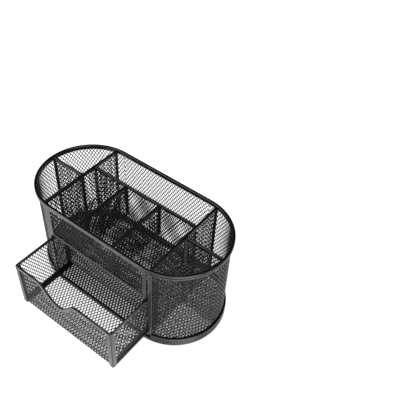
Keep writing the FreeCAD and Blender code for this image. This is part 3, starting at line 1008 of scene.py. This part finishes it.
@dataclass
class FrontTrim:
    """The thin strip that follows the top line of the drawer's front through the dip.

    Attributes:
        node: the CAD node that it stands for.
        height: how high the strip is.
        fold: how far its inner leg reaches over the mesh.
        dip: the finger dip.
        edge_round: how round its edges are.
    """

    node: str = "drawer_front_trim"
    height: float = 3.3 * MM
    fold: float = 1.3 * MM
    dip: FingerDip = field(default_factory=FingerDip)
    edge_round: float = 0.25 * MM

    def build(self) -> bpy.types.Object:
        """Draw the strip as the rim of a plate and give it its thickness.

        Returns:
            The finished piece.
        """
        low, high = corners_of(self.node)
        over = 4 * self.height
        piece = self.dip.plate(high.x + over, high.z, low.z - over)
        with editing(piece):
            bpy.ops.mesh.select_mode(type="FACE")
            bpy.ops.mesh.select_all(action="SELECT")
            bpy.ops.mesh.inset(thickness=self.height, use_even_offset=True)
            bpy.ops.mesh.delete(type="FACE")
            trim((high.x, 0, 0), (1, 0, 0))
            trim((low.x, 0, 0), (-1, 0, 0))
            pick(piece, Kind.FACE, lambda at: at.z < low.z - TINY)
            bpy.ops.mesh.delete(type="FACE")
            bpy.ops.mesh.select_all(action="SELECT")
            shift((0, low.y, 0))
            bpy.ops.mesh.extrude_region_move(TRANSFORM_OT_translate={"value": (0, high.y - low.y + self.fold, 0)})
        outward(piece)
        apply_modifier(piece, "BEVEL", width=self.edge_round, segments=2, limit_method="ANGLE")
        return finish(piece, "bar_" + self.node, STRIP_COAT, Body.DRAWER, [self.node], 40)


# Assemblies


@dataclass
class Organizer:
    """The body of the organizer: floor, walls, dividers, tray, channels, wires and strips."""

    faced_x: tuple[str, ...] = ("left_divider", "right_divider", "left_tray_divider", "right_tray_divider")
    faced_y: tuple[str, ...] = (
        "back_wall", "front_panel", "long_divider", "left_end_divider", "right_end_divider"
    )

    def build(self) -> None:
        """Build every piece of the body."""
        OvalFloor("base_floor", Axis.Z).build()
        TrayFloor("tray_floor", Axis.Z).build()
        for node in self.faced_x:
            FlatSheet(node, Axis.X).build()
        for node in self.faced_y:
            FlatSheet(node, Axis.Y).build()
        EndWall("left_end_wall", -1).build()
        EndWall("right_end_wall", 1).build()
        RolledChannel("base_ring").build()
        RolledChannel("top_rim").build()
        OpenChannel("wall_hem").build()
        for node in frame["nodes"]:
            if node.endswith("_wire"):
                low, high = corners_of(node)
                along = Axis.X if high.x - low.x > high.y - low.y else Axis.Y
                TopWire(node, along).build()
            elif node.endswith(("_strip", "_post", "_hem")) and not node.startswith(("drawer", "wall")):
                FlatBar(node).build()


@dataclass
class Drawer:
    """The sliding drawer: shell, sides, trims and corner strips.

    Attributes:
        sides: the nodes of its two side sheets.
        fold: how far a trim's inner leg reaches over the mesh.
        foot_rise: how much higher the side's foot trims stand than their nodes.
        edge_round: how round the edges of the strips and trims are.
        strip_width: the width of the strips along the floor's edges.
        strip_gauge: their thickness.
        sheet_gauge: the thickness of the CAD sheet.
    """

    sides: tuple[str, ...] = ("drawer_left_side", "drawer_right_side")
    fold: float = 1.3 * MM
    foot_rise: float = 0.6 * MM
    edge_round: float = 0.36 * MM
    strip_width: float = 4.6 * MM
    strip_gauge: float = 0.6 * MM
    sheet_gauge: float = 0.8 * MM

    def build(self) -> None:
        """Build every piece of the drawer."""
        DrawerShell().build()
        FrontTrim().build()
        for node in self.sides:
            FlatSheet(node, Axis.X, Body.DRAWER).build()
        for node in frame["nodes"]:
            bar = node.endswith(("_strip", "_trim")) and node != "drawer_front_trim"
            if node.startswith("drawer") and bar:
                taller = self.foot_rise if node.endswith("foot_trim") else 0.0
                FlatBar(node, Body.DRAWER, self.edge_round, self._fold(node), taller).build()
        for side in (-1, 1):
            self._floor_strip(side)

    def _fold(self, node: str) -> tuple[float, float, float]:
        """Tell which way a trim or strip folds over the edge of the mesh.

        Args:
            node: the trim's or strip's node.

        Returns:
            How far its inner leg reaches, along each axis.
        """
        if node == "drawer_back_trim":
            return 0.0, -self.fold, 0.0
        if "front_left" in node or "front_right" in node:
            return 0.0, self.fold, 0.0
        return (self.fold if "left" in node else -self.fold), 0.0, 0.0

    def _floor_strip(self, side: int) -> bpy.types.Object:
        """Lay the strip that binds one edge of the drawer's floor.

        Args:
            side: 1 for the right edge, -1 for the left.

        Returns:
            The finished piece.
        """
        low, high = corners_of("drawer_shell")
        inner, outer = high.x - self.strip_width, high.x
        gauge = self.strip_gauge
        left, right = (inner, outer) if side > 0 else (-outer, -inner)
        top = low.z + self.sheet_gauge + gauge
        piece = block(
            Vector((left, low.y + self.sheet_gauge, low.z + self.sheet_gauge / 2)),
            Vector((right, high.y - self.sheet_gauge, top)),
        )
        with editing(piece):
            bpy.ops.mesh.bevel(offset=gauge / 3, segments=2, affect="EDGES")
        outward(piece)
        name = "bar_drawer_floor_" + ("right" if side > 0 else "left")
        return finish(piece, name, STRIP_COAT, Body.DRAWER, [], 40)


# Studio


@dataclass
class Studio:
    """Floor, lights and camera.

    Attributes:
        aim: the point of the floor that the camera looks at.
        azimuth: how far the camera stands to the right of the front, in degrees.
        elevation: how high it looks down, in degrees.
        roll: how far it is tilted about its view, in degrees.
        distance: how far it stands from its aim.
        focal_pixels: the lens's focal length in pixels of the picture.
        picture: the picture's width in pixels.
        floor_size: the side of the floor.
        glow_in_painted_shadow: how much the floor shines under the object; being lower than outside, this paints a
            shadow under the object.
        glow_steps_from_painted_shadow: how the floor's shine to the camera and in reflections grows outwards out of
            that painted shadow, each step as where it starts, where it ends and how much it adds.
        ceiling: how bright the surroundings are above the horizon.
    """

    aim: tuple[float, float, float] = (-11.14 * MM, 137.36 * MM, 4.6 * MM)
    azimuth: float = 33.24
    elevation: float = 44.376
    roll: float = 4.794
    distance: float = 706.06 * MM
    focal_pixels: float = 560.17
    picture: float = 400.0
    floor_size: float = 30.0
    # The floor glows less under the foot, which paints a shadow there.
    glow_in_painted_shadow: float = 0.35
    glow_steps_from_painted_shadow: tuple[tuple[float, float, float], ...] = ((0.04, 0.064, 0.55), (0.2, 1.6, 0.1))
    ceiling: float = 0.012

    def build(self) -> None:
        """Set up the whole studio."""
        self._floor()
        self._lights()
        self._camera()
        bpy.context.scene.view_settings.view_transform = "Standard"

    def _floor(self) -> None:
        """Lay a wide pale floor that keeps the object's shadow and turns to white further out; it also glows less
        under the oval foot, which paints a shadow there.
        """
        bpy.ops.object.select_all(action="DESELECT")
        bpy.ops.mesh.primitive_plane_add(size=self.floor_size)
        floor = bpy.context.object
        floor.name = "studio_floor"
        paint = bpy.data.materials.new("studio_floor")
        paint.use_nodes = True
        nodes, links = paint.node_tree.nodes, paint.node_tree.links
        shader = nodes["Principled BSDF"]
        shader.inputs["Base Color"].default_value = (0.88, 0.88, 0.88, 1)
        shader.inputs["Roughness"].default_value = 0.8
        shader.inputs["Specular IOR Level"].default_value = 0.1
        glow = nodes.new("ShaderNodeEmission")
        glow.inputs["Color"].default_value = (1, 1, 1, 1)
        path = nodes.new("ShaderNodeLightPath")
        seen = nodes.new("ShaderNodeMath")
        seen.operation = "MAXIMUM"
        links.new(path.outputs["Is Camera Ray"], seen.inputs[0])
        links.new(path.outputs["Is Glossy Ray"], seen.inputs[1])
        part = nodes.new("ShaderNodeMath")
        part.operation = "MULTIPLY"
        links.new(seen.outputs["Value"], part.inputs[0])
        # The glow is weaker under the object, a painted shadow on the floor, seen by the camera and in reflections.
        links.new(self._glow_with_painted_shadow(nodes, links), part.inputs[1])
        both = nodes.new("ShaderNodeAddShader")
        links.new(part.outputs["Value"], glow.inputs["Strength"])
        links.new(shader.outputs["BSDF"], both.inputs[0])
        links.new(glow.outputs["Emission"], both.inputs[1])
        links.new(both.outputs["Shader"], nodes["Material Output"].inputs["Surface"])
        floor.data.materials.append(paint)

    def _glow_with_painted_shadow(self, nodes: bpy.types.Nodes, links: bpy.types.NodeLinks) -> bpy.types.NodeSocket:
        """Add the glow's strength: low under the oval foot, which paints a shadow there, and growing with the
        distance from the foot's middle line.

        Args:
            nodes: the floor material's nodes.
            links: its links.

        Returns:
            The socket that gives the strength.
        """
        low, high = corners_of("base_ring")
        place = nodes.new("ShaderNodeTexCoord")
        split = nodes.new("ShaderNodeSeparateXYZ")
        links.new(place.outputs["Object"], split.inputs["Vector"])
        value = split.outputs["X"]
        for operation, operand in (("ABSOLUTE", 0.0), ("SUBTRACT", high.x - high.y), ("MAXIMUM", 0.0)):
            step = nodes.new("ShaderNodeMath")
            step.operation = operation
            step.inputs[1].default_value = operand
            links.new(value, step.inputs[0])
            value = step.outputs["Value"]
        joined = nodes.new("ShaderNodeCombineXYZ")
        links.new(value, joined.inputs["X"])
        links.new(split.outputs["Y"], joined.inputs["Y"])
        reach = nodes.new("ShaderNodeVectorMath")
        reach.operation = "LENGTH"
        links.new(joined.outputs["Vector"], reach.inputs[0])
        # The low level under the foot is painted shadow; the first step lifts it to nearly white just outside the
        # foot.
        total = None
        for start, end, rise in self.glow_steps_from_painted_shadow:
            base = self.glow_in_painted_shadow if total is None else 0.0
            step = nodes.new("ShaderNodeMapRange")
            step.interpolation_type = "SMOOTHSTEP"
            step.inputs["From Min"].default_value = start
            step.inputs["From Max"].default_value = end
            step.inputs["To Min"].default_value = base
            step.inputs["To Max"].default_value = base + rise
            links.new(reach.outputs["Value"], step.inputs["Value"])
            if total is None:
                total = step.outputs["Result"]
                continue
            both = nodes.new("ShaderNodeMath")
            links.new(total, both.inputs[0])
            links.new(step.outputs["Result"], both.inputs[1])
            total = both.outputs["Value"]
        return total

    def _lights(self) -> None:
        """Hang the softboxes and set the surroundings: white round the horizon, dim above, all white as seen."""
        world = bpy.data.worlds.new("studio")
        world.use_nodes = True
        nodes, links = world.node_tree.nodes, world.node_tree.links
        sky = nodes["Background"]
        place = nodes.new("ShaderNodeTexCoord")
        split = nodes.new("ShaderNodeSeparateXYZ")
        ramp = nodes.new("ShaderNodeValToRGB")
        links.new(place.outputs["Generated"], split.inputs["Vector"])
        links.new(split.outputs["Z"], ramp.inputs["Fac"])
        path = nodes.new("ShaderNodeLightPath")
        shown = nodes.new("ShaderNodeMath")
        shown.operation = "MAXIMUM"
        links.new(ramp.outputs["Color"], shown.inputs[0])
        links.new(path.outputs["Is Camera Ray"], shown.inputs[1])
        links.new(shown.outputs["Value"], sky.inputs["Color"])
        low, high = ramp.color_ramp.elements
        low.position, low.color = 0.1, (1, 1, 1, 1)
        high.position, high.color = 0.22, (self.ceiling, self.ceiling, self.ceiling, 1)
        sky.inputs["Strength"].default_value = 1.0
        bpy.context.scene.world = world
        self._softbox("top", (-0.1, -0.1, 1.4), 1.0, 5.0)
        self._softbox("front_left", (-0.75, -0.85, 0.75), 0.9, 7.5)
        self._softbox("front_right", (0.95, -0.6, 0.7), 0.9, 7.5)

    @staticmethod
    def _softbox(name: str, place: tuple[float, float, float], size: float, power: float) -> None:
        """Hang a square softbox that looks at the object.

        Args:
            name: the light's name.
            place: where it hangs.
            size: its side.
            power: its power in watts.
        """
        lamp = bpy.data.lights.new(name, "AREA")
        lamp.size = size
        lamp.energy = power
        holder = bpy.data.objects.new(name, lamp)
        holder.location = place
        holder.rotation_euler = (Vector((0, 0, 0.05)) - Vector(place)).to_track_quat("-Z", "Y").to_euler()
        bpy.context.collection.objects.link(holder)

    def _camera(self) -> None:
        """Set up the camera where the photograph was taken from."""
        lens = bpy.data.cameras.new("camera")
        lens.sensor_width = 36
        lens.lens = self.focal_pixels / self.picture * lens.sensor_width
        camera = bpy.data.objects.new("camera", lens)
        bpy.context.collection.objects.link(camera)
        azimuth, elevation, roll = (math.radians(value) for value in (self.azimuth, self.elevation, self.roll))
        back = Vector((
            math.sin(azimuth) * math.cos(elevation), -math.cos(azimuth) * math.cos(elevation), math.sin(elevation)
        ))
        right = Vector((math.cos(azimuth), math.sin(azimuth), 0))
        up = back.cross(right)
        tilted_right = math.cos(roll) * right + math.sin(roll) * up
        tilted_up = math.cos(roll) * up - math.sin(roll) * right
        turned = Matrix((tilted_right, tilted_up, back)).transposed().to_4x4()
        camera.matrix_world = Matrix.Translation(Vector(self.aim) + back * self.distance) @ turned
        bpy.context.scene.camera = camera


def main() -> None:
    """Build the organizer, its drawer and the studio, and log each piece's face count."""
    logging.basicConfig(level=logging.INFO, format="%(name)s: %(message)s")
    Organizer().build()
    Drawer().build()
    Studio().build()


if __name__ == "__main__":
    main()
